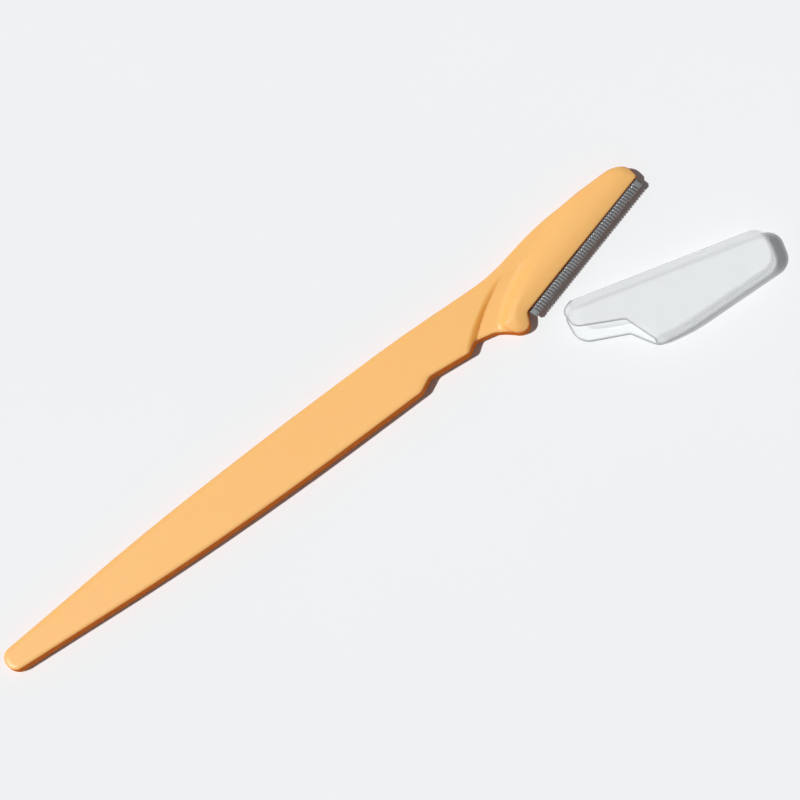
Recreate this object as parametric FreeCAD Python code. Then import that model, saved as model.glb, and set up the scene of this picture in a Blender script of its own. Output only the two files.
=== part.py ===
import FreeCAD, Part
import math
import os
from FreeCAD import Placement, Rotation, Vector

# Eyebrow razor lying flat on its underside, with its cap taken off and laid beside it.
# +X runs from the tail to the tip, the cutting edge is on the -Y side and the underside is at Z = 0.
# The origin is on the underside, at the middle of the overall length. Lengths are millimetres.

# Grip: a flat tapering bar from the round tail to the inner corner of the head
overall_length = 152.3
grip_width = 11.6
tail_thickness = 3.2
grip_thickness = 3.6
grip_top_round = 0.5
grip_bottom_round = 0.4
crest_radius = 150.0
crest_share = 0.889

# Corners of the grip's blade-side edge, from the tail to the neck, and of its back edge, to the tail.
# Each is a share of the grip's length, of its half width and, for the rounding, of the shorter run there.
tail_corner_shares = (0.0, 0.40, 0.445)
taper_corner_shares = (0.298, 0.85, 0.40)
waist_corner_shares = (0.531, 1.0, 0.50)
back_waist_corner_shares = (0.799, 1.035, 0.35)
finger_notch_shares = [
    (0.789, 0.965, 0.15),
    (0.814, 0.70, 0.18),
    (0.887, 0.86, 0.20),
    (0.9055, 0.62, 0.26),
]

# Head: its own frame starts at the inner corner of the blade line and runs along the blade.
# There x runs to the tip and y runs from the blade line to the back.
blade_line_angle = 15.42
corner_offset = 5.2
pad_length = 33.6
pad_width = 7.3
heel_thickness = 4.2
tip_thickness = 3.8
pad_top_round = 0.9
pad_bottom_round = 0.4
shelf_thickness = 3.1

# Corners of the raised pad: shares of its length, of its width and, for the rounding, of the shorter run
pad_shares = [
    (0.0, 0.0, 0.09),
    (0.998, -0.01, 0.20),
    (1.014, 0.42, 0.45),
    (0.942, 0.730, 0.45),
    (0.650, 1.090, 0.30),
    (0.200, 0.870, 0.24),
    (0.006, 0.653, 0.13),
    (-0.161, 0.326, 0.27),
    (-0.138, -0.170, 0.50),
    (-0.060, -0.315, 0.45),
]
# Corners of the neck and of the low shelf behind the pad, with the inner ones under the pad, in the same way
neck_shares = [
    (-0.207, 0.360, 0.22),
    (-0.136, -0.033, 0.18),
    (0.074, 0.340, 0.05),
    (0.607, 0.656, 0.08),
    (0.780, 0.885, 0.40),
    (0.435, 1.320, 0.45),
    (0.020, 1.437, 0.30),
]

# Valley across the neck: its floor falls from the back to the blade side, below the grip's top face
valley_depth = 0.9
valley_width = 7.0
valley_angle = 31.0
valley_back_share = 0.775
valley_start_share = 0.9085

# Blade: a strip moulded into the head, ground to an edge on both faces
blade_exposure = 1.35
blade_seat = 2.6
blade_thickness = 0.25
blade_height = 2.3
bevel_width = 0.9
edge_thickness = 0.02
blade_heel_margin = 0.05
blade_tip_margin = 0.5
lock_hole_diameter = 1.5
lock_hole_shares = (0.24, 0.74)

# Guard: a thin steel strip folded over the cutting edge, with a row of fine slots
guard_sheet = 0.1
guard_inset = 0.35
guard_seat = 0.6
guard_edge_gap = 0.06
slot_count = 48
slot_zone_share = 0.95
slot_width_share = 0.5
slot_margin = 0.15

# Cap: a thin clear sleeve that slides over the head along the blade
cap_clearance = 0.25
cap_blade_room = 0.3
cap_wall = 0.45
cap_inner_round = 0.5
cap_shift = 10.6
cap_gap = 7.2
cap_turn = -15.48
# Outline of the head that the cap goes round: shares of the pad's length, its width and the shorter run.
# Its straight side runs along the guard.
cap_start_share = -0.30
cap_end_share = 1.03
cap_tip_round_share = 0.36
cap_back_shares = [(1.03, 0.672, 0.33), (0.40, 1.350, 0.14), (-0.30, 1.50, 0.0)]
# Edge of each wall at the cap's mouth, round the tongue and up to the back, as the same shares
mouth_rim_shares = [(-0.093, -0.452, 0.0), (1.20, -0.452, 0.0), (1.20, 1.80, 0.0)]
back_mouth_shares = [(0.30, 1.80, 0.0), (0.138, 0.671, 0.05), (-0.150, 0.370, 0.36), (-0.179, -0.123, 0.25)]
front_mouth_shares = [(0.33, 1.80, 0.0), (0.132, 0.904, 0.04), (-0.158, 0.640, 0.48), (-0.179, -0.123, 0.22)]

# Length by which cutting solids run past what they cut
overrun = 1.0

# How much of a face's normal points up where the face counts as level, and as upright
level_share = 0.9
upright_share = 0.3

tail_x = -overall_length / 2
grip_length = overall_length - pad_length * math.cos(math.radians(blade_line_angle))
blade_length = pad_length - blade_heel_margin - blade_tip_margin
guard_reach = blade_exposure + guard_edge_gap + blade_thickness / 2 + guard_sheet
head_origin = Vector(tail_x + grip_length, -corner_offset, 0)
head_placement = Placement(head_origin, Rotation(Vector(0, 0, 1), blade_line_angle))
pad_slope = (heel_thickness - tip_thickness) / pad_length


def grip_corner(shares, side):
    """A corner of the grip in the row frame, on the blade side (-1) or the back (+1)."""
    along, across, rounding = shares
    return Vector(tail_x + along * grip_length, side * across * grip_width / 2, 0), rounding


def head_corner(shares):
    """A corner given in the head's own frame."""
    along, across, rounding = shares
    return Vector(along * pad_length, across * pad_width, 0), rounding


def in_row(corner):
    """A corner of the head's frame, moved into the row frame."""
    place, rounding = corner
    return head_placement.multVec(place), rounding


def round_radii(corners):
    """Corners with their rounding shares turned into the radii of tangent arcs."""
    found = []
    for index, (place, rounding) in enumerate(corners):
        back = corners[index - 1][0] - place
        ahead = corners[(index + 1) % len(corners)][0] - place
        reach = rounding * min(back.Length, ahead.Length)
        found.append((place, reach * math.tan(back.getAngle(ahead) / 2)))
    return found


def rounded_outline(corners):
    """A closed wire of straight runs joined by tangent arcs at the corners."""
    edges = []
    start = None
    first = None
    for index, (place, rounding) in enumerate(corners):
        back = (corners[index - 1][0] - place).normalize()
        ahead = (corners[(index + 1) % len(corners)][0] - place).normalize()
        half = back.getAngle(ahead) / 2
        reach = rounding / math.tan(half)
        enter = place + back * reach
        leave = place + ahead * reach
        if start is not None:
            edges.append(Part.LineSegment(start, enter).toShape())
        else:
            first = enter
        if rounding > 0:
            middle = (back + ahead).normalize() * (rounding / math.sin(half) - rounding)
            edges.append(Part.Arc(enter, place + middle, leave).toShape())
        start = leave
    edges.append(Part.LineSegment(start, first).toShape())
    return Part.Wire(edges)


def prism(outline, bottom, top):
    """An upright prism on an outline, between two heights."""
    face = Part.Face(outline)
    face.translate(Vector(0, 0, bottom))
    return face.extrude(Vector(0, 0, top - bottom))


def side_block(profile, side_reach):
    """A block with a profile in the XZ plane, as wide as twice the side reach."""
    face = Part.Face(profile)
    face.translate(Vector(0, -side_reach, 0))
    return face.extrude(Vector(0, side_reach * 2, 0))


def rim_edges(shape, facing):
    """Edges between the side faces and the faces that look up (+1) or down (-1)."""
    chosen = []
    for edge in shape.Edges:
        tilts = []
        for face in shape.ancestorsOfType(edge, Part.Face):
            u_low, u_high, v_low, v_high = face.ParameterRange
            tilts.append(face.normalAt((u_low + u_high) / 2, (v_low + v_high) / 2).z * facing)
        if len(tilts) == 2 and max(tilts) > level_share and abs(min(tilts)) < upright_share:
            chosen.append(edge)
    return chosen


def profile_outline(points):
    """Corners (x, z, rounding) of an outline in the XZ plane."""
    return [(Vector(x, 0, z), rounding) for x, z, rounding in points]


def make_grip():
    """The grip, the neck and the low shelf behind the pad, in one piece."""
    corners = [grip_corner(tail_corner_shares, -1)]
    corners.append(grip_corner(taper_corner_shares, -1))
    corners.append(grip_corner(waist_corner_shares, -1))
    corners += [grip_corner(shares, -1) for shares in finger_notch_shares]
    corners += [in_row(head_corner(shares)) for shares in neck_shares]
    corners.append(grip_corner(back_waist_corner_shares, 1))
    corners.append(grip_corner(waist_corner_shares, 1))
    corners.append(grip_corner(taper_corner_shares, 1))
    corners.append(grip_corner(tail_corner_shares, 1))
    slab = prism(rounded_outline(round_radii(corners)), 0, heel_thickness)
    box = slab.BoundBox
    profile = profile_outline([
        (tail_x - overrun, -overrun, 0),
        (box.XMax + overrun, -overrun, 0),
        (box.XMax + overrun, shelf_thickness, 0),
        (tail_x + crest_share * grip_length, grip_thickness, crest_radius),
        (tail_x - overrun, tail_thickness, 0),
    ])
    slab = slab.common(side_block(rounded_outline(profile), box.YLength))
    slab = slab.makeFillet(grip_top_round, rim_edges(slab, 1))
    slab = slab.makeFillet(grip_bottom_round, rim_edges(slab, -1))
    return slab.cut(make_valley())


def make_valley():
    """The space above the neck's sloping floor, beyond the slanting step across the grip."""
    back = valley_back_share * grip_width / 2
    fall = valley_depth / valley_width
    reach = grip_width
    top = heel_thickness + overrun
    floor = [
        Vector(0, back, grip_thickness),
        Vector(0, back - reach * 2, grip_thickness - fall * reach * 2),
        Vector(0, back - reach * 2, top),
        Vector(0, back, top),
    ]
    start = Vector(tail_x + valley_start_share * grip_length, back - valley_width, 0)
    run = Vector(pad_length, 0, 0)
    wedge = Part.Face(Part.makePolygon(floor + floor[:1])).extrude(run * 2)
    wedge.translate(Vector(start.x - pad_length, 0, 0))
    slant = Vector(math.cos(math.radians(valley_angle)), math.sin(math.radians(valley_angle)), 0)
    low = start - slant * reach
    high = start + slant * reach * 2
    plan = Part.makePolygon([low, low + run, high + run, high, low])
    return wedge.common(prism(plan, 0, top))


def make_pad():
    """The raised pad over the blade, thick at the heel and thin at the tip."""
    corners = round_radii([head_corner(shares) for shares in pad_shares])
    block = prism(rounded_outline(corners), 0, heel_thickness * 2)
    box = block.BoundBox
    near = box.XMin - overrun
    far = box.XMax + overrun
    profile = profile_outline([
        (near, -overrun, 0),
        (far, -overrun, 0),
        (far, heel_thickness - pad_slope * far, 0),
        (near, heel_thickness - pad_slope * near, 0),
    ])
    block = block.common(side_block(rounded_outline(profile), box.YLength))
    block = block.makeFillet(pad_top_round, rim_edges(block, 1))
    block = block.makeFillet(pad_bottom_round, rim_edges(block, -1))
    block.Placement = head_placement
    return block


def make_blade():
    """The steel strip with its ground edge and its two lock holes, in the head's frame."""
    half = blade_thickness / 2
    edge = edge_thickness / 2
    section = [
        Vector(blade_heel_margin, blade_seat, -half),
        Vector(blade_heel_margin, bevel_width - blade_exposure, -half),
        Vector(blade_heel_margin, -blade_exposure, -edge),
        Vector(blade_heel_margin, -blade_exposure, edge),
        Vector(blade_heel_margin, bevel_width - blade_exposure, half),
        Vector(blade_heel_margin, blade_seat, half),
    ]
    strip = Part.Face(Part.makePolygon(section + section[:1])).extrude(Vector(blade_length, 0, 0))
    for share in lock_hole_shares:
        centre = Vector(blade_heel_margin + share * blade_length, blade_seat / 2, -blade_thickness)
        strip = strip.cut(Part.makeCylinder(lock_hole_diameter / 2, blade_thickness * 2, centre))
    return strip


def make_guard():
    """The folded steel strip over the cutting edge, with its row of slots, in the head's frame."""
    outer = blade_thickness / 2 + guard_sheet
    inner = blade_thickness / 2
    length = blade_length - guard_inset * 2
    start = blade_heel_margin + guard_inset
    fold = -blade_exposure - guard_edge_gap
    sleeve = Part.makeBox(length, guard_seat - fold, outer * 2, Vector(start, fold, -outer))
    nose = Part.makeCylinder(outer, length, Vector(start, fold, 0), Vector(1, 0, 0))
    hollow = Part.makeBox(length, guard_seat - fold, inner * 2, Vector(start, fold, -inner))
    strip = sleeve.fuse(nose).removeSplitter().cut(hollow)
    pitch = length * slot_zone_share / slot_count
    slot_width = pitch * slot_width_share
    slot_depth = outer - fold - slot_margin
    first = start + (length - pitch * slot_count) / 2 + (pitch - slot_width) / 2
    slots = []
    for index in range(slot_count):
        place = Vector(first + index * pitch, fold - outer, -outer * 2)
        slots.append(Part.makeBox(slot_width, slot_depth, outer * 4, place))
    return strip.cut(Part.makeCompound(slots))


def make_handle(inserts):
    """The moulded plastic: the grip and the pad in one, with the room that the steel inserts fill."""
    handle = make_grip().fuse(make_pad()).removeSplitter()
    for insert in inserts:
        handle = handle.cut(insert)
    return handle


def offset_corners(corners, distance):
    """The same outline, moved outwards by a distance, with its roundings grown to match."""
    moved = []
    for index, (place, rounding) in enumerate(corners):
        back = (place - corners[index - 1][0]).normalize()
        ahead = (corners[(index + 1) % len(corners)][0] - place).normalize()
        outward = Vector(back.y, -back.x, 0) + Vector(ahead.y, -ahead.x, 0)
        shift = outward * (distance / (1 + back.dot(ahead)))
        moved.append((place + shift, rounding + distance if rounding > 0 else 0))
    return moved


def cap_block(growth, round_radius):
    """The head's outline grown by a distance on all sides, with a top that slopes as the pad does."""
    blade_side_share = -(guard_reach + cap_blade_room) / pad_width
    form_shares = [(cap_start_share, blade_side_share, 0)]
    form_shares.append((cap_end_share, blade_side_share, cap_tip_round_share))
    form_shares += cap_back_shares
    corners = offset_corners(round_radii([head_corner(shares) for shares in form_shares]), growth)
    block = prism(rounded_outline(corners), -growth, heel_thickness * 2)
    box = block.BoundBox
    lift = heel_thickness + growth * math.sqrt(1 + pad_slope * pad_slope)
    profile = profile_outline([
        (box.XMin - overrun, -growth - overrun, 0),
        (box.XMax + overrun, -growth - overrun, 0),
        (box.XMax + overrun, lift - pad_slope * (box.XMax + overrun), 0),
        (box.XMin - overrun, lift - pad_slope * (box.XMin - overrun), 0),
    ])
    block = block.common(side_block(rounded_outline(profile), box.YLength * 2))
    return block.makeFillet(round_radius, rim_edges(block, 1) + rim_edges(block, -1))


def make_cap():
    """The clear cap, made on the head, then turned over and laid on its front wall beside the head."""
    shell = cap_block(cap_clearance + cap_wall, cap_inner_round + cap_wall)
    shell = shell.cut(cap_block(cap_clearance, cap_inner_round))
    middle = blade_height
    low = -cap_clearance - cap_wall - overrun
    high = heel_thickness * 2
    walls = []
    for mouth, bottom, top in ((back_mouth_shares, low, middle), (front_mouth_shares, middle, high)):
        corners = round_radii([head_corner(shares) for shares in mouth_rim_shares + mouth])
        walls.append(prism(rounded_outline(corners), bottom, top))
    cap = shell.common(walls[0].fuse(walls[1]))
    pitch = math.atan(pad_slope)
    lift = heel_thickness * math.cos(pitch) + cap_clearance + cap_wall
    cap.rotate(Vector(), Vector(1, 0, 0), 180)
    cap.rotate(Vector(), Vector(0, 1, 0), math.degrees(pitch))
    cap.rotate(Vector(), Vector(0, 0, 1), cap_turn)
    cap.translate(head_origin + Vector(cap_shift, -cap_gap, lift))
    return cap


blade = make_blade()
guard = make_guard()
for insert in (blade, guard):
    insert.translate(Vector(0, 0, blade_height))
    insert.Placement = head_placement.multiply(insert.Placement)
nodes = {
    "handle": make_handle([blade, guard]),
    "blade": blade,
    "guard": guard,
    "cap": make_cap(),
}
os.makedirs("parts", exist_ok=True)
for name, shape in nodes.items():
    shape.exportStep("parts/" + name + ".step")
    box = shape.BoundBox
    print(name, "solids", len(shape.Solids), "valid", shape.isValid(), "volume", round(shape.Volume, 2))
    print("  X", round(box.XMin, 2), round(box.XMax, 2), "Y", round(box.YMin, 2), round(box.YMax, 2),
          "Z", round(box.ZMin, 2), round(box.ZMax, 2))
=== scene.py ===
import math

import bpy
import numpy as np
from mathutils import Matrix, Vector


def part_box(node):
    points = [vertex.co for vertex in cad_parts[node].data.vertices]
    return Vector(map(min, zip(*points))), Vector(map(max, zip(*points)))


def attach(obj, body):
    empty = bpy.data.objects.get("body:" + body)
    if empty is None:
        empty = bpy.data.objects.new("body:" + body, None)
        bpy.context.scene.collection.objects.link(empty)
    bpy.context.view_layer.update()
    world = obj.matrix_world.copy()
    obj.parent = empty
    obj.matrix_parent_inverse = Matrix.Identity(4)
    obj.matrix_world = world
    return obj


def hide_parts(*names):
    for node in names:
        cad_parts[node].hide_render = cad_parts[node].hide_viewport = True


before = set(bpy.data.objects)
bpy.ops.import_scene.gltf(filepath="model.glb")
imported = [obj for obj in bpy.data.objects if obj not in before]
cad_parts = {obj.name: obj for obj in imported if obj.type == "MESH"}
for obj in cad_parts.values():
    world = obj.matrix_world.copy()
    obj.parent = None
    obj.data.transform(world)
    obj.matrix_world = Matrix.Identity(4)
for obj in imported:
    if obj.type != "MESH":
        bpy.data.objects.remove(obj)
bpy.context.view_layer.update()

# Lengths are millimetres, as on a drawing, and become metres when a mesh is made.
mm = 0.001

# Grip, as in the solids: it runs from the round tail to the inner corner of the head
tail_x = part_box("handle")[0].x / mm
overall_length = -2 * tail_x
grip_width = 11.6
tail_thickness = 3.2
grip_thickness = 3.6
grip_top_round = 0.35
grip_crown_drop = 0.2
grip_crown_width = 1.2
crest_share = 0.889
crest_blend = 0.12
bottom_round = 0.35

# Corners of the grip: shares of its length, of its half width and of the shorter run that the rounding takes
tail_corner_shares = (0.0, 0.40, 0.445)
taper_corner_shares = (0.298, 0.85, 0.40)
waist_corner_shares = (0.531, 1.0, 0.50)
back_waist_corner_shares = (0.799, 1.035, 0.35)
finger_notch_shares = [
    (0.789, 0.965, 0.15),
    (0.814, 0.70, 0.18),
    (0.887, 0.86, 0.20),
    (0.9055, 0.62, 0.26),
]

# Head: its own frame starts at the inner corner of the blade line, with x to the tip and y to the back
blade_line_angle = math.radians(15.42)
corner_offset = 5.2
pad_length = 33.6
pad_width = 7.3
heel_thickness = 4.2
tip_thickness = 3.8
pad_edge_drop = 0.6
pad_back_drop = 1.3
pad_drop_change = 3.0
pad_heel_change = 4.0
pad_round_width = 2.6
pad_crown_drop = 0.5
pad_crown_width = 4.5
pad_crown_limit = 1.3
shelf_thickness = 3.1
shelf_end_share = 0.62
pad_blend = 0.7
edge_blend = 0.4
blend_reach = 2.0

# Corners of the pad and of the neck: shares of the pad's length, of its width and of the shorter run
pad_shares = [
    (0.0, 0.0, 0.09),
    (0.998, -0.01, 0.20),
    (1.014, 0.42, 0.45),
    (0.942, 0.730, 0.45),
    (0.650, 1.090, 0.30),
    (0.200, 0.870, 0.24),
    (0.006, 0.653, 0.13),
    (-0.161, 0.326, 0.27),
    (-0.138, -0.170, 0.50),
    (-0.060, -0.315, 0.45),
]
neck_shares = [
    (-0.207, 0.360, 0.22),
    (-0.136, -0.033, 0.18),
    (0.074, 0.340, 0.05),
    (0.607, 0.656, 0.08),
    (0.780, 0.885, 0.40),
    (0.435, 1.320, 0.45),
    (0.020, 1.437, 0.30),
]

# Valley across the neck, below a slanting step in the grip's face
valley_depth = 0.9
valley_width = 7.0
valley_angle = math.radians(40.5)
valley_bend_share = 0.5
valley_back_share = 0.775
valley_start_share = 0.918
step_width = 1.5
crease_reach = 1.0

# Parting line: the faint ridge where the two halves of the mould met
parting_height = 1.3
parting_ridge = 0.04
parting_inset = 0.11
parting_width = 0.1

# Blade and guard, seen from the head's frame: the strip lies level, with the folded guard over its edge
blade_height = 2.3
blade_thickness = 0.25
blade_exposure = 1.35
blade_heel_margin = 0.05
blade_tip_margin = 0.5
guard_sheet = 0.1
guard_inset = 0.35
guard_seat = 0.6
guard_edge_gap = 0.06
slot_count = 48
slot_zone_share = 0.95
slot_width_share = 0.5
slot_margin = 0.15
strap_bend_steps = 8

# Cap: a thin sleeve that fits over the head, turned over and laid beside it
cap_clearance = 0.25
cap_blade_room = 0.3
cap_wall = 0.445
cap_inner_round = 0.5
cap_lip_round = 0.2
cap_lip_width = 0.25
cap_lip_start = 1.5
cap_shift = 10.6
cap_gap = 7.2
cap_turn = math.radians(-15.48)
cap_start_share = -0.30
cap_end_share = 1.03
cap_tip_round_share = 0.36
cap_back_shares = [(1.03, 0.672, 0.33), (0.40, 1.350, 0.14), (-0.30, 1.50, 0.0)]
mouth_rim_shares = [(-0.093, -0.452, 0.0), (1.20, -0.452, 0.0), (1.20, 1.80, 0.0)]
back_mouth_shares = [(0.30, 1.80, 0.0), (0.138, 0.671, 0.05), (-0.150, 0.370, 0.36), (-0.179, -0.123, 0.25)]
front_mouth_shares = [(0.33, 1.80, 0.0), (0.132, 0.904, 0.04), (-0.158, 0.640, 0.48), (-0.179, -0.123, 0.22)]
mouth_change = 1.2

# Patterns in the materials: the satin, the scratches and the etched grain are drawn coarser than they are,
# because the real ones are too fine to show
flow_size = 14.0
flow_stretch = (0.35, 1, 1)
satin_size = 0.5
satin_depth = 0.02
polish_size = 5.0
sink_depth = 1.2
scratch_size = 0.6
scratch_stretch = (12, 1, 1)
etch_size = 0.25
steel_depth = 0.01
haze_size = 8.0
cloud_size = 60.0

# Photograph: the camera stands at the foot of the picture and is turned about its own axis
camera_elevation = math.radians(74.0)
camera_roll = math.radians(36.43)
camera_distance = 700.0
camera_clip_start = 10.0
camera_aim = Vector((14.25, -3.31, 0.0))
camera_pixels_per_mm = 5.235
picture_width = 800
sensor_width = 36.0

# Light: one small bright source from the tail's side, and a pale surround
key_direction = Vector((-0.434, 0.157, 0.887))
key_strength = 3.02
key_spread = math.radians(2.5)
surround_strength = 0.135
floor_side = 8000.0
floor_drop = 0.02

# Cells of the skins, in which a level face lies off the middle of its cell
grip_cell = 1.0
head_cell = 0.25
cap_cell = 0.2
cap_cell_height = 0.14
handle_floor_share = 0.6
cap_floor_share = 0.4
parting_layers = 9
parting_reach = 2.0
settle_rounds = 3
slope_step = 0.004
arc_steps = 10

pad_slope = (heel_thickness - tip_thickness) / pad_length
grip_length = overall_length - pad_length * math.cos(blade_line_angle)
head_origin = np.array((tail_x + grip_length, -corner_offset))
head_turn = np.array(Matrix.Rotation(blade_line_angle, 2))
head_place = Matrix.Translation((*head_origin, 0)) @ Matrix.Rotation(blade_line_angle, 4, "Z")
guard_length = pad_length - blade_heel_margin - blade_tip_margin - 2 * guard_inset
slot_pitch = guard_length * slot_zone_share / slot_count
strap_width = slot_pitch * (1 - slot_width_share)


def linear(hex_colour):
    """An sRGB hex colour as linear red, green, blue and a full alpha."""
    shares = [int(hex_colour[i:i + 2], 16) / 255 for i in (1, 3, 5)]
    return [s / 12.92 if s <= 0.04045 else ((s + 0.055) / 1.055) ** 2.4 for s in shares] + [1.0]


def add_node(tree, kind, settings, inputs):
    """Adds a node, sets its properties, and sets or links its inputs by name or number."""
    node = tree.nodes.new(kind)
    for name, value in settings.items():
        setattr(node, name, value)
    for name, value in inputs.items():
        if isinstance(value, bpy.types.NodeSocket):
            tree.links.new(value, node.inputs[name])
        else:
            node.inputs[name].default_value = value
    return node


def new_material(name):
    """An empty material with its output node."""
    material = bpy.data.materials.new(name)
    material.use_nodes = True
    material.node_tree.nodes.clear()
    output = material.node_tree.nodes.new("ShaderNodeOutputMaterial")
    return material, material.node_tree, output


def moulded_polypropylene():
    """Apricot polypropylene, injection moulded: light sinks a little way in, walls and the step's foot carry
    a painted deep-orange shade, and the satin skin of the mould gives soft glints that fade at a slant."""
    material, tree, output = new_material("polypropylene_moulded_apricot")
    place = add_node(tree, "ShaderNodeTexCoord", {}, {}).outputs
    along = add_node(tree, "ShaderNodeMapping", {}, {"Vector": place["Object"], "Scale": flow_stretch})
    flow = add_node(tree, "ShaderNodeTexNoise", {}, {
        "Vector": along.outputs["Vector"], "Scale": 1 / (flow_size * mm), "Detail": 2.0})
    face_tint = add_node(tree, "ShaderNodeMix", {"data_type": "RGBA"}, {
        "Factor": flow.outputs["Fac"], 6: linear("#FFC174"), 7: linear("#FEC478")})
    # Painted shade: along the foot of the step across the neck, the face colour turns a deeper orange.
    painted_crease_shade = add_node(tree, "ShaderNodeAttribute", {"attribute_name": "painted_crease_shade"}, {})
    top_tint = add_node(tree, "ShaderNodeMix", {"data_type": "RGBA"}, {
        "Factor": painted_crease_shade.outputs["Fac"], 6: face_tint.outputs[2], 7: linear("#FFB04E")})
    # Painted shade: steep faces (walls and sides, above or below) get a darker, deeper orange than level
    # faces, the shade of a wall turned from the light.
    facing = add_node(tree, "ShaderNodeSeparateXYZ", {}, {"Vector": place["Normal"]})
    level = add_node(tree, "ShaderNodeMath", {"operation": "ABSOLUTE"}, {0: facing.outputs["Z"]})
    clear_of_painted_wall_shade = add_node(tree, "ShaderNodeMapRange", {}, {
        "Value": level.outputs[0], "From Min": 0.25, "From Max": 0.72, "To Min": 0.0, "To Max": 1.0})
    tint = add_node(tree, "ShaderNodeMix", {"data_type": "RGBA"}, {
        "Factor": clear_of_painted_wall_shade.outputs["Result"], 6: linear("#DA7029"), 7: top_tint.outputs[2]})
    aslant = add_node(tree, "ShaderNodeLayerWeight", {}, {"Blend": 0.5})
    glint = add_node(tree, "ShaderNodeMapRange", {}, {
        "Value": aslant.outputs["Facing"], "From Min": 0.3, "From Max": 0.6, "To Min": 0.4, "To Max": 0.0})
    satin = add_node(tree, "ShaderNodeTexNoise", {}, {
        "Vector": place["Object"], "Scale": 1 / (satin_size * mm), "Detail": 3.0})
    relief = add_node(tree, "ShaderNodeBump", {}, {
        "Strength": 0.06, "Distance": satin_depth * mm, "Height": satin.outputs["Fac"]})
    polish = add_node(tree, "ShaderNodeTexNoise", {}, {
        "Vector": place["Object"], "Scale": 1 / (polish_size * mm), "Detail": 2.0})
    roughness = add_node(tree, "ShaderNodeMapRange", {}, {
        "Value": polish.outputs["Fac"], "To Min": 0.36, "To Max": 0.44})
    surface = add_node(tree, "ShaderNodeBsdfPrincipled", {}, {
        "Base Color": tint.outputs[2],
        "Roughness": roughness.outputs["Result"],
        "IOR": 1.49,
        "Specular IOR Level": glint.outputs["Result"],
        "Subsurface Weight": 0.35,
        "Subsurface Radius": (1.0, 0.4, 0.15),
        "Subsurface Scale": sink_depth * mm,
        "Normal": relief.outputs["Normal"],
    })
    tree.links.new(surface.outputs["BSDF"], output.inputs["Surface"])
    return material


def ground_stainless():
    """Stainless strip, rolled and then ground towards the edge: fine scratches across its length."""
    material, tree, output = new_material("stainless_strip_ground")
    place = add_node(tree, "ShaderNodeTexCoord", {}, {}).outputs
    across = add_node(tree, "ShaderNodeMapping", {}, {
        "Vector": place["Object"], "Rotation": (0, 0, -blade_line_angle), "Scale": scratch_stretch})
    scratch = add_node(tree, "ShaderNodeTexNoise", {}, {
        "Vector": across.outputs["Vector"], "Scale": 1 / (scratch_size * mm), "Detail": 4.0})
    relief = add_node(tree, "ShaderNodeBump", {}, {
        "Strength": 0.2, "Distance": steel_depth * mm, "Height": scratch.outputs["Fac"]})
    roughness = add_node(tree, "ShaderNodeMapRange", {}, {
        "Value": scratch.outputs["Fac"], "To Min": 0.22, "To Max": 0.32})
    surface = add_node(tree, "ShaderNodeBsdfPrincipled", {}, {
        "Base Color": linear("#A0A1A2"),
        "Metallic": 1.0,
        "Roughness": roughness.outputs["Result"],
        "Normal": relief.outputs["Normal"],
    })
    tree.links.new(surface.outputs["BSDF"], output.inputs["Surface"])
    return material


def etched_stainless():
    """Stainless foil, etched through and folded: a slightly dull grain, brighter than the blade."""
    material, tree, output = new_material("stainless_foil_etched")
    place = add_node(tree, "ShaderNodeTexCoord", {}, {}).outputs
    grain = add_node(tree, "ShaderNodeTexNoise", {}, {
        "Vector": place["Object"], "Scale": 1 / (etch_size * mm), "Detail": 3.0})
    relief = add_node(tree, "ShaderNodeBump", {}, {
        "Strength": 0.15, "Distance": steel_depth * mm, "Height": grain.outputs["Fac"]})
    roughness = add_node(tree, "ShaderNodeMapRange", {}, {
        "Value": grain.outputs["Fac"], "To Min": 0.26, "To Max": 0.34})
    surface = add_node(tree, "ShaderNodeBsdfPrincipled", {}, {
        "Base Color": linear("#C0C1C2"),
        "Metallic": 1.0,
        "Roughness": roughness.outputs["Result"],
        "Normal": relief.outputs["Normal"],
    })
    tree.links.new(surface.outputs["BSDF"], output.inputs["Surface"])
    return material


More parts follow.
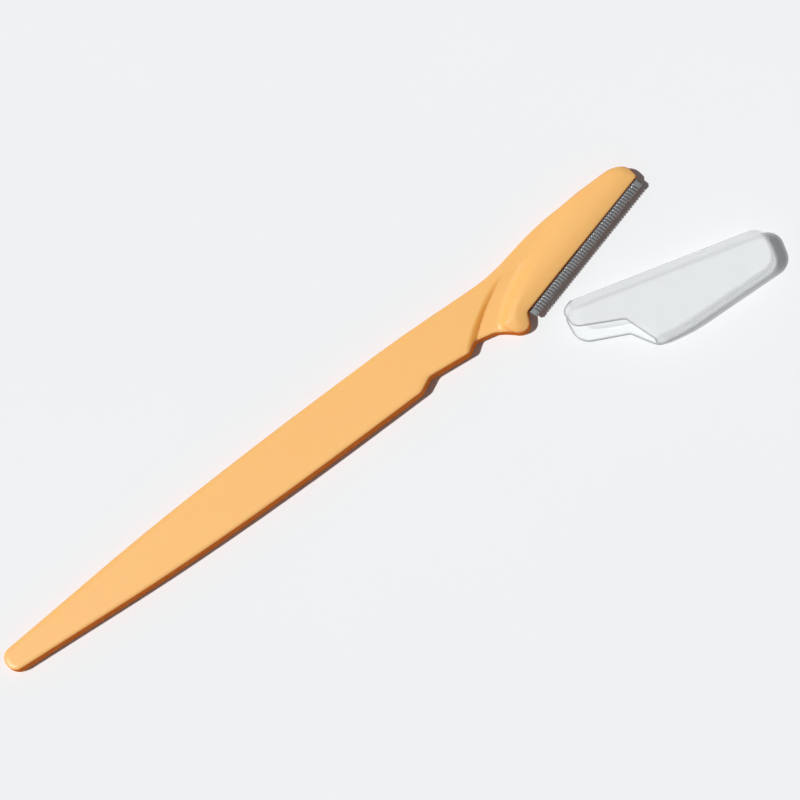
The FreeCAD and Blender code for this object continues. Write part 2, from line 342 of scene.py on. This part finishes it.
def natural_polypropylene():
    """Uncoloured polypropylene, thin moulded: a milky see-through wall, with a painted grey shade along its
    cut lips.
    Light for shadows goes almost freely through a wall that it meets squarely."""
    material, tree, output = new_material("polypropylene_moulded_natural")
    aslant = add_node(tree, "ShaderNodeLayerWeight", {}, {"Blend": 0.5}).outputs["Facing"]
    # Painted shade: at the lip the wall is made more opaque and tinted grey, standing for the dark line that
    # refraction gives a clear rounded rim.
    lip = add_node(tree, "ShaderNodeAttribute", {"attribute_name": "lip"}, {}).outputs["Fac"]
    milk = add_node(tree, "ShaderNodeMapRange", {}, {
        "Value": aslant, "From Min": 0.3, "From Max": 0.65, "To Min": 0.46, "To Max": 0.28})
    painted_lip_shade_cover = add_node(tree, "ShaderNodeMapRange", {}, {"Value": lip, "To Min": 0.0, "To Max": 0.7})
    seen = add_node(tree, "ShaderNodeMath", {"operation": "MAXIMUM"}, {
        0: milk.outputs["Result"], 1: painted_lip_shade_cover.outputs["Result"]})
    held_back = add_node(tree, "ShaderNodeMapRange", {}, {
        "Value": aslant, "From Min": 0.15, "From Max": 0.55, "To Min": 0.1, "To Max": 0.7})
    led_along = add_node(tree, "ShaderNodeMapRange", {}, {
        "Value": aslant, "From Min": 0.55, "From Max": 0.85, "To Min": 0.0, "To Max": 0.4})
    shade = add_node(tree, "ShaderNodeMath", {"operation": "SUBTRACT"}, {
        0: held_back.outputs["Result"], 1: led_along.outputs["Result"]})
    path = add_node(tree, "ShaderNodeLightPath", {}, {})
    cover = add_node(tree, "ShaderNodeMix", {"data_type": "FLOAT"}, {
        "Factor": path.outputs["Is Shadow Ray"],
        "A": seen.outputs[0],
        "B": shade.outputs[0],
    })
    tint = add_node(tree, "ShaderNodeMix", {"data_type": "RGBA"}, {
        "Factor": lip, 6: linear("#E6E8E9"), 7: linear("#8E9396")})
    place = add_node(tree, "ShaderNodeTexCoord", {}, {}).outputs
    haze = add_node(tree, "ShaderNodeTexNoise", {}, {
        "Vector": place["Object"], "Scale": 1 / (haze_size * mm), "Detail": 2.0})
    roughness = add_node(tree, "ShaderNodeMapRange", {}, {
        "Value": haze.outputs["Fac"], "To Min": 0.2, "To Max": 0.3})
    surface = add_node(tree, "ShaderNodeBsdfPrincipled", {}, {
        "Base Color": tint.outputs[2],
        "Roughness": roughness.outputs["Result"],
        "IOR": 1.49,
        "Alpha": cover.outputs[0],
    })
    tree.links.new(surface.outputs["BSDF"], output.inputs["Surface"])
    return material


def matt_paper():
    """Matt white paper for the floor, with the faintest cloudiness."""
    material, tree, output = new_material("paper_matt_white")
    place = add_node(tree, "ShaderNodeTexCoord", {}, {}).outputs
    cloud = add_node(tree, "ShaderNodeTexNoise", {}, {
        "Vector": place["Object"], "Scale": 1 / (cloud_size * mm), "Detail": 2.0})
    tint = add_node(tree, "ShaderNodeMix", {"data_type": "RGBA"}, {
        "Factor": cloud.outputs["Fac"], 6: linear("#F0F2F3"), 7: linear("#F2F4F5")})
    surface = add_node(tree, "ShaderNodeBsdfPrincipled", {}, {
        "Base Color": tint.outputs[2], "Roughness": 1.0, "Specular IOR Level": 0.0})
    tree.links.new(surface.outputs["BSDF"], output.inputs["Surface"])
    return material


def rounded_loop(corners):
    """Points round a closed outline of corners (x, y, rounding): straight runs joined by tangent arcs."""
    corners = np.array(corners, float)
    points = []
    for before, corner, after in zip(np.roll(corners, 1, 0), corners, np.roll(corners, -1, 0)):
        place = corner[:2]
        back = before[:2] - place
        ahead = after[:2] - place
        back_length = np.hypot(*back)
        ahead_length = np.hypot(*ahead)
        reach = corner[2] * min(back_length, ahead_length)
        if reach == 0:
            points.append(place)
            continue
        start = place + back / back_length * reach
        end = place + ahead / ahead_length * reach
        weight = math.sin(math.acos(back @ ahead / (back_length * ahead_length)) / 2)
        for t in np.linspace(0, 1, arc_steps + 1):
            pulls = np.array(((1 - t) ** 2, 2 * weight * t * (1 - t), t ** 2))
            points.append(pulls @ np.array((start, place, end)) / pulls.sum())
    return np.array(points)


def inside_distance(plan, loop):
    """How far each place in plan lies inside a closed outline; negative outside it."""
    places = plan.reshape(-1, 2)
    nearest = np.full(len(places), np.inf)
    inside = np.zeros(len(places), bool)
    for start, end in zip(loop, np.roll(loop, -1, 0)):
        run = end - start
        offset = places - start
        along = np.clip(offset @ run / (run @ run), 0, 1)
        gap = offset - along[:, None] * run
        nearest = np.minimum(nearest, (gap ** 2).sum(1))
        spans = (start[1] > places[:, 1]) != (end[1] > places[:, 1])
        slope = run[0] / run[1] if run[1] else 0.0
        inside ^= spans & (offset[:, 0] < offset[:, 1] * slope)
    distance = np.sqrt(nearest)
    return np.where(inside, distance, -distance).reshape(plan.shape[:-1])


def both(a, b, radius):
    """The part common to two fields that are positive inside, with its edge rounded."""
    edge = np.hypot(np.maximum(radius - a, 0), np.maximum(radius - b, 0))
    return np.maximum(radius, np.minimum(a, b)) - edge


def either(a, b, radius):
    """Two fields that are positive inside as one, with the inner corner between them filled round."""
    corner = np.hypot(np.maximum(radius + a, 0), np.maximum(radius + b, 0))
    return np.minimum(-radius, np.maximum(a, b)) + corner


def ease(value, low, high):
    """A smooth change from 0 to 1 as a value goes from low to high."""
    t = np.clip((value - low) / (high - low), 0, 1)
    return t * t * (3 - 2 * t)


def skin(columns, field, xs, ys, zs):
    """Vertices, faces and normals of the closed surface on which a field is zero, found on a box of cells.
    columns gives what the field needs of places seen from above; the field is positive inside."""
    def value_and_slope(place):
        value = field(columns(place[:, :2]), place[:, 2])
        slope = np.empty_like(place)
        for axis in range(3):
            moved = place.copy()
            moved[:, axis] += slope_step
            slope[:, axis] = (field(columns(moved[:, :2]), moved[:, 2]) - value) / slope_step
        return value, slope

    plan = np.stack(np.meshgrid(xs, ys, indexing="ij"), -1)
    inside = field(columns(plan[:, :, None, :]), zs) > 0
    corners = [inside[i:len(xs) - 1 + i, j:len(ys) - 1 + j, k:len(zs) - 1 + k].astype(int)
               for i in (0, 1) for j in (0, 1) for k in (0, 1)]
    filled = sum(corners)
    mixed = (filled > 0) & (filled < len(corners))
    number = np.full(mixed.shape, -1)
    number[mixed] = np.arange(mixed.sum())
    centres = [(line[1:] + line[:-1]) / 2 for line in (xs, ys, zs)]
    place = np.stack(np.meshgrid(*centres, indexing="ij"), -1)[mixed]
    for _ in range(settle_rounds):
        value, slope = value_and_slope(place)
        place = place - (value / (slope ** 2).sum(1))[:, None] * slope
    slope = value_and_slope(place)[1]
    normals = -slope / np.linalg.norm(slope, axis=1)[:, None]

    faces = []
    for axis in range(3):
        b, c = (axis + 1) % 3, (axis + 2) % 3
        change = np.diff(inside.astype(int), axis=axis)
        for way in (1, -1):
            edge = np.argwhere(change == way)
            edge = edge[(edge[:, b] > 0) & (edge[:, b] < mixed.shape[b])
                        & (edge[:, c] > 0) & (edge[:, c] < mixed.shape[c])]
            ring = []
            for step_b, step_c in ((0, 0), (-1, 0), (-1, -1), (0, -1))[::way]:
                cell = edge.copy()
                cell[:, b] += step_b
                cell[:, c] += step_c
                ring.append(number[tuple(cell.T)])
            faces.append(np.stack(ring, 1)[:, ::-1])
    return place, np.concatenate(faces), normals


def make_piece(name, place, faces, normals, material, to_row=Matrix.Identity(4)):
    """A mesh piece in metres from vertices in millimetres, smooth, with the given normals."""
    mesh = bpy.data.meshes.new(name)
    turn = np.array(to_row.to_3x3())
    place = (place @ turn.T + np.array(to_row.translation)) * mm
    mesh.from_pydata(place, [], faces)
    mesh.shade_smooth()
    mesh.normals_split_custom_set_from_vertices(normals @ turn.T)
    mesh.materials.append(material)
    piece = bpy.data.objects.new(name, mesh)
    bpy.context.scene.collection.objects.link(piece)
    return piece


def grip_corner(shares, side):
    """A corner of the grip in the row frame, on the blade side (-1) or the back (+1)."""
    along, across, rounding = shares
    return tail_x + along * grip_length, side * across * grip_width / 2, rounding


def head_corner(shares):
    """A corner in the head's own frame."""
    along, across, rounding = shares
    return along * pad_length, across * pad_width, rounding


def head_corner_in_row(shares):
    """A corner of the head's frame, moved into the row frame."""
    x, y, rounding = head_corner(shares)
    return *(head_turn @ (x, y) + head_origin), rounding


def grip_loop():
    """The outline of the grip, the neck and the low shelf behind the pad."""
    blade_side = [tail_corner_shares, taper_corner_shares, waist_corner_shares, *finger_notch_shares]
    back_side = [back_waist_corner_shares, waist_corner_shares, taper_corner_shares, tail_corner_shares]
    corners = [grip_corner(shares, -1) for shares in blade_side]
    corners += [head_corner_in_row(shares) for shares in neck_shares]
    corners += [grip_corner(shares, 1) for shares in back_side]
    return rounded_loop(corners)


def valley_run(plan):
    """How far places lie past the slanting edge of the valley, and the share of its depth that they have."""
    x, y = plan[..., 0], plan[..., 1]
    back = valley_back_share * grip_width / 2
    fall = np.clip((back - y) / valley_width, 0, 1)
    start_x = tail_x + valley_start_share * grip_length
    start_y = back - valley_width
    line_x = start_x + (y - start_y) / math.tan(valley_angle)
    line_x = line_x + valley_bend_share * (y - start_y) ** 2 / valley_width
    return (x - line_x) * math.sin(valley_angle), fall * (2 - fall)


def grip_top(plan):
    """Height of the grip's face: it rises from the tail to the crest, falls to the shelf, and rolls over
    a slanting edge down to the valley of the neck, which is deepest on the blade side."""
    x = plan[..., 0]
    crest_x = tail_x + crest_share * grip_length
    shelf_x = head_origin[0] + shelf_end_share * pad_length
    rise = grip_thickness + (grip_thickness - tail_thickness) * (x - crest_x) / (crest_x - tail_x)
    fall = grip_thickness + (shelf_thickness - grip_thickness) * (x - crest_x) / (shelf_x - crest_x)
    face = (rise + fall - np.hypot(rise - fall, crest_blend)) / 2
    beyond, fall = valley_run(plan)
    floor = np.minimum(face, grip_thickness - valley_depth * fall)
    roll = np.clip(1 + beyond / step_width, 0, 1)
    return face + (floor - face) * roll ** 2


def pad_top(head_plan):
    """Height of the pad: thick at the heel, thin at the tip, and falling away towards the blade."""
    x, y = head_plan[..., 0], head_plan[..., 1]
    crown = pad_crown_drop * np.clip(1 - y / pad_crown_width, 0, pad_crown_limit) ** 2
    return heel_thickness - pad_slope * x - crown


def pad_drop(head_plan):
    """How far the pad's rim is rounded down: little at the blade, and more at the back and round the heel."""
    at_back = ease(head_plan[..., 1], 0, pad_drop_change)
    at_heel = ease(-head_plan[..., 0], 0, pad_heel_change)
    return pad_back_drop + (pad_edge_drop - pad_back_drop) * (1 - at_back) * (1 - at_heel)


def make_handle(material):
    """The whole moulding: the grip and the pad, blended, with rounded edges and a faint parting line."""
    grip = grip_loop()
    pad = rounded_loop([head_corner(shares) for shares in pad_shares])

    def columns(plan):
        head_plan = (plan - head_origin) @ head_turn
        grip_inside = inside_distance(plan, grip) - parting_inset
        crown = grip_crown_drop * np.clip(1 - grip_inside / grip_crown_width, 0, 1) ** 2
        return (grip_inside, grip_top(plan) - crown,
                inside_distance(head_plan, pad) - parting_inset, pad_top(head_plan), pad_drop(head_plan))

    def field(seen, height):
        grip_inside, grip_height, pad_inside, pad_height, drop = seen
        ridge = parting_ridge * np.exp(-((height - parting_height) / parting_width) ** 2)
        grip_body = both(grip_inside + ridge, grip_height - height, grip_top_round)
        pad_body = both((pad_inside + ridge) * drop / pad_round_width, pad_height - height, drop)
        blend = edge_blend + (pad_blend - edge_blend) * ease(grip_inside, 0, blend_reach)
        return both(either(grip_body, pad_body, blend), height, bottom_round)

    fine_tail = tail_x + grip_width / 2
    fine_head = grip_corner(finger_notch_shares[0], 1)[0] - grip_width / 2
    low, high = (np.array(corner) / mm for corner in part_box("handle"))
    xs = np.concatenate((
        np.arange(low[0] - head_cell, fine_tail, head_cell),
        np.arange(fine_tail, fine_head, grip_cell),
        np.arange(fine_head, high[0] + 2 * head_cell, head_cell),
    ))
    ys = np.arange(low[1] - head_cell, high[1] + 2 * head_cell, head_cell)
    zs = np.unique(np.concatenate((
        np.arange(low[2] - handle_floor_share * head_cell, high[2] + head_cell, head_cell),
        parting_height + np.linspace(-parting_reach, parting_reach, parting_layers) * parting_width,
    )))
    vertices, faces, normals = skin(columns, field, xs, ys, zs)
    piece = make_piece("handle_moulding", vertices, faces, normals, material)
    # Painted shade: a point attribute, strongest on upward faces at the foot of the step, where the material
    # paints a deeper orange.
    beyond, fall = valley_run(vertices[:, :2])
    in_crease = ease(np.abs(beyond + step_width / 3), crease_reach, 0)
    painted_crease_shade = piece.data.attributes.new("painted_crease_shade", "FLOAT", "POINT")
    painted_crease_shade.data.foreach_set("value", fall * in_crease * (normals[:, 2] > 0))
    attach(piece, "razor")
    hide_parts("handle")
    return piece


def make_cap(material):
    """The clear sleeve: one wall all round, cut to a rounded lip at its mouth, lying on its front wall."""
    guard_reach = blade_exposure + guard_edge_gap + blade_thickness / 2 + guard_sheet
    side_share = -(guard_reach + cap_blade_room) / pad_width
    form_shares = [(cap_start_share, side_share, 0), (cap_end_share, side_share, cap_tip_round_share)]
    form = rounded_loop([head_corner(shares) for shares in form_shares + cap_back_shares])
    back_mouth = rounded_loop([head_corner(shares) for shares in mouth_rim_shares + back_mouth_shares])
    front_mouth = rounded_loop([head_corner(shares) for shares in mouth_rim_shares + front_mouth_shares])
    growth = cap_clearance + cap_wall / 2
    middle_round = cap_inner_round + cap_wall / 2
    tilt = math.sqrt(1 + pad_slope ** 2)

    def columns(plan):
        return (inside_distance(plan, form) + growth, heel_thickness - pad_slope * plan[..., 0],
                inside_distance(plan, back_mouth), inside_distance(plan, front_mouth))

    def mouth(back_cut, front_cut, height):
        to_front = ease(height, blade_height - mouth_change, blade_height + mouth_change)
        return back_cut + (front_cut - back_cut) * to_front

    def field(seen, height):
        side, top, back_cut, front_cut = seen
        body = both(side, (top - height) / tilt + growth, middle_round)
        body = both(body, height + growth, middle_round)
        return both(cap_wall / 2 - np.abs(body), mouth(back_cut, front_cut, height), cap_lip_round)

    outer = cap_clearance + cap_wall
    xs = np.arange(cap_start_share * pad_length, cap_end_share * pad_length + 2 * outer, cap_cell)
    back_share = cap_back_shares[-1][1]
    top = heel_thickness - pad_slope * cap_start_share * pad_length
    ys = np.arange(side_share * pad_width - 2 * outer, back_share * pad_width + 2 * outer, cap_cell)
    zs = np.arange(-outer - cap_floor_share * cap_cell, top + 2 * outer, cap_cell_height)
    pitch = math.atan(pad_slope)
    lift = heel_thickness * math.cos(pitch) + outer
    place = Matrix.Translation((head_origin[0] + cap_shift, head_origin[1] - cap_gap, lift))
    place = place @ Matrix.Rotation(cap_turn, 4, "Z") @ Matrix.Rotation(pitch, 4, "Y")
    place = place @ Matrix.Rotation(math.pi, 4, "X")
    vertices, faces, normals = skin(columns, field, xs, ys, zs)
    piece = make_piece("cap_sleeve", vertices, faces, normals, material, place)
    # Painted shade: the lip attribute is 1 at the cut edge of the mouth and falls to 0 a little way in; the
    # material paints a grey line there.
    from_mouth = mouth(*columns(vertices[:, :2])[2:], vertices[:, 2])
    lip = piece.data.attributes.new("lip", "FLOAT", "POINT")
    lip.data.foreach_set("value", np.clip(cap_lip_start - from_mouth / cap_lip_width, 0, 1))
    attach(piece, "cap")
    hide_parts("cap")
    return piece


def make_strap():
    """One strap of the guard: thin steel folded round the cutting edge, as wide as between two slots."""
    inner = blade_thickness / 2
    outer = inner + guard_sheet
    fold = -blade_exposure - guard_edge_gap
    root = outer * 2 - slot_margin
    turns = np.linspace(0, math.pi, strap_bend_steps + 1)
    path = []
    for radius in (outer, inner):
        bend = [(fold - radius * math.sin(turn), radius * math.cos(turn)) for turn in turns]
        path.append([(root, radius), *bend, (root, -radius)])
    count = len(path[0])
    places = [(x, y, z) for x in (0, strap_width) for line in path for y, z in line]
    faces = []
    for i in range(count - 1):
        outside, inside, far = i, i + count, 2 * count
        faces.append((outside, outside + 1, inside + 1, inside))
        faces.append((outside + far, inside + far, inside + far + 1, outside + far + 1))
        faces.append((outside, outside + far, outside + far + 1, outside + 1))
        faces.append((inside, inside + 1, inside + far + 1, inside + far))
    for i in (0, count - 1):
        foot = (i, i + count, i + 3 * count, i + 2 * count)
        faces.append(foot if i == 0 else foot[::-1])
    mesh = bpy.data.meshes.new("guard_strip")
    mesh.from_pydata(np.array(places) * mm, [], faces)
    strap = bpy.data.objects.new("guard_strip", mesh)
    bpy.context.scene.collection.objects.link(strap)
    return strap


def guard_tree(material):
    """Geometry nodes that set straps in a row between two plain ends and join them by two root strips."""
    tree = bpy.data.node_groups.new("guard_row", "GeometryNodeTree")
    tree.interface.new_socket("Strap", in_out="INPUT", socket_type="NodeSocketGeometry")
    tree.interface.new_socket("Straps", in_out="INPUT", socket_type="NodeSocketInt")
    for name in ("First", "Step", "End Step", "End Scale", "Root Size", "Root Place", "Root Step"):
        tree.interface.new_socket(name, in_out="INPUT", socket_type="NodeSocketVector")
    tree.interface.new_socket("Guard", in_out="OUTPUT", socket_type="NodeSocketGeometry")
    given = add_node(tree, "NodeGroupInput", {}, {}).outputs
    row = add_node(tree, "GeometryNodeMeshLine", {}, {
        "Count": given["Straps"], "Start Location": given["First"], "Offset": given["Step"]})
    straps = add_node(tree, "GeometryNodeInstanceOnPoints", {}, {
        "Points": row.outputs["Mesh"], "Instance": given["Strap"]})
    pair = add_node(tree, "GeometryNodeMeshLine", {}, {"Count": 2, "Offset": given["End Step"]})
    ends = add_node(tree, "GeometryNodeInstanceOnPoints", {}, {
        "Points": pair.outputs["Mesh"], "Instance": given["Strap"], "Scale": given["End Scale"]})
    strip = add_node(tree, "GeometryNodeMeshCube", {}, {"Size": given["Root Size"]})
    sides = add_node(tree, "GeometryNodeMeshLine", {}, {
        "Count": 2, "Start Location": given["Root Place"], "Offset": given["Root Step"]})
    roots = add_node(tree, "GeometryNodeInstanceOnPoints", {}, {
        "Points": sides.outputs["Mesh"], "Instance": strip.outputs["Mesh"]})
    joined = add_node(tree, "GeometryNodeJoinGeometry", {}, {})
    for part in (straps, ends, roots):
        tree.links.new(part.outputs["Instances"], joined.inputs["Geometry"])
    whole = add_node(tree, "GeometryNodeRealizeInstances", {}, {"Geometry": joined.outputs["Geometry"]})
    dressed = add_node(tree, "GeometryNodeSetMaterial", {}, {
        "Geometry": whole.outputs["Geometry"], "Material": material})
    add_node(tree, "NodeGroupOutput", {}, {"Guard": dressed.outputs["Geometry"]})
    return tree


def make_guard(material):
    """The folded guard over the cutting edge, with its row of slots, made from one strap."""
    outer = blade_thickness / 2 + guard_sheet
    end_width = (guard_length - slot_pitch * slot_count + slot_pitch - strap_width) / 2
    root_depth = guard_seat + slot_margin
    piece = make_strap()
    tree = guard_tree(material)
    row = piece.modifiers.new("row", "NODES")
    row.node_group = tree
    values = {
        "Straps": slot_count - 1,
        "First": (end_width + slot_pitch - strap_width, 0, 0),
        "Step": (slot_pitch, 0, 0),
        "End Step": (guard_length - end_width, 0, 0),
        "End Scale": (end_width / strap_width, 1, 1),
        "Root Size": (guard_length, root_depth, guard_sheet),
        "Root Place": (guard_length / 2, guard_seat - root_depth / 2, guard_sheet / 2 - outer),
        "Root Step": (0, 0, outer * 2 - guard_sheet),
    }
    for socket in tree.interface.items_tree:
        if socket.in_out == "INPUT" and socket.name in values:
            value = values[socket.name]
            lengths = socket.socket_type == "NodeSocketVector" and socket.name != "End Scale"
            row[socket.identifier] = Vector(value) * mm if lengths else value
    seen = piece.evaluated_get(bpy.context.evaluated_depsgraph_get())
    mesh = bpy.data.meshes.new_from_object(seen)
    piece.modifiers.clear()
    piece.data = mesh
    start = Vector((blade_heel_margin + guard_inset, 0, blade_height))
    place = head_place @ Matrix.Translation(start)
    place.translation *= mm
    mesh.transform(place)
    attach(piece, "razor")
    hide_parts("guard")
    return piece


def make_floor(material):
    """A wide level floor under the object."""
    mesh = bpy.data.meshes.new("floor")
    half = floor_side / 2 * mm
    low = -floor_drop * mm
    corners = [(-half, -half, low), (half, -half, low), (half, half, low), (-half, half, low)]
    mesh.from_pydata(corners, [], [(0, 1, 2, 3)])
    mesh.materials.append(material)
    floor = bpy.data.objects.new("floor", mesh)
    bpy.context.scene.collection.objects.link(floor)


def make_light():
    """A small bright key light and a pale surround, together at a plain level."""
    lamp = bpy.data.lights.new("key", "SUN")
    lamp.energy = key_strength
    lamp.angle = key_spread
    key = bpy.data.objects.new("key", lamp)
    key.rotation_euler = key_direction.to_track_quat("Z", "Y").to_euler()
    bpy.context.scene.collection.objects.link(key)
    world = bpy.data.worlds.new("surround")
    world.use_nodes = True
    tree = world.node_tree
    tree.nodes.clear()
    light = add_node(tree, "ShaderNodeBackground", {}, {
        "Color": linear("#F9FAFC"), "Strength": surround_strength})
    add_node(tree, "ShaderNodeOutputWorld", {}, {"Surface": light.outputs["Background"]})
    bpy.context.scene.world = world


def make_camera():
    """The camera at the photograph's viewing angle."""
    data = bpy.data.cameras.new("camera")
    data.sensor_width = sensor_width
    data.lens = sensor_width * camera_pixels_per_mm * camera_distance / picture_width
    data.clip_start = camera_clip_start * mm
    camera = bpy.data.objects.new("camera", data)
    back = Vector((0, -math.cos(camera_elevation), math.sin(camera_elevation)))
    right = Matrix.Rotation(-camera_roll, 3, back) @ Vector((1, 0, 0))
    up = back.cross(right)
    camera.matrix_world = Matrix.Translation((camera_aim + back * camera_distance) * mm) @ Matrix(
        (right, up, back)).transposed().to_4x4()
    bpy.context.scene.collection.objects.link(camera)
    bpy.context.scene.camera = camera


bpy.context.scene.view_settings.view_transform = "Standard"
make_handle(moulded_polypropylene())
make_cap(natural_polypropylene())
make_guard(etched_stainless())
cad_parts["blade"].data.materials.clear()
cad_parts["blade"].data.materials.append(ground_stainless())
make_floor(matt_paper())
make_light()
make_camera()
